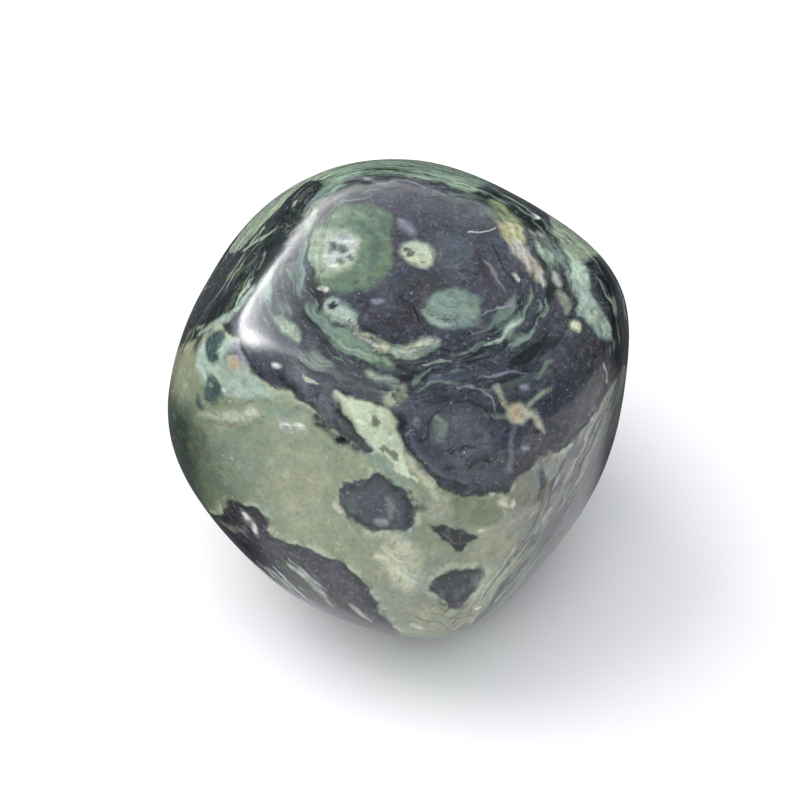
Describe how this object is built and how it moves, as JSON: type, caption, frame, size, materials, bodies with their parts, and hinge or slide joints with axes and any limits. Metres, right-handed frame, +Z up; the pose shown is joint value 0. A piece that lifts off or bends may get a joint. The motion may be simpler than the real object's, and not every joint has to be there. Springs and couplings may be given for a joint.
{
  "type": "tumbled stone",
  "caption": "Tumbled pebble of kambaba jasper with worn faces, dark orbs and bands in green rock, polished, resting on a small flat.",
  "frame": {"origin": "middle of the stone's bounding box, on the surface that the stone rests on", "axes": "+Z up, the stone's shortest extent; +Y to the back, its longest extent; -Y is the front, seen in the picture; +X is to the right"},
  "size_m": [0.0262, 0.0276, 0.0239],
  "materials": {
    "polished_jasper": "tumbled to a wet-looking polish; green matrix with dark grey-violet orbs, rings and flow bands"
  },
  "bodies": {
    "root": {"tumbled_stone": "polished_jasper"}
  },
  "joints": []
}
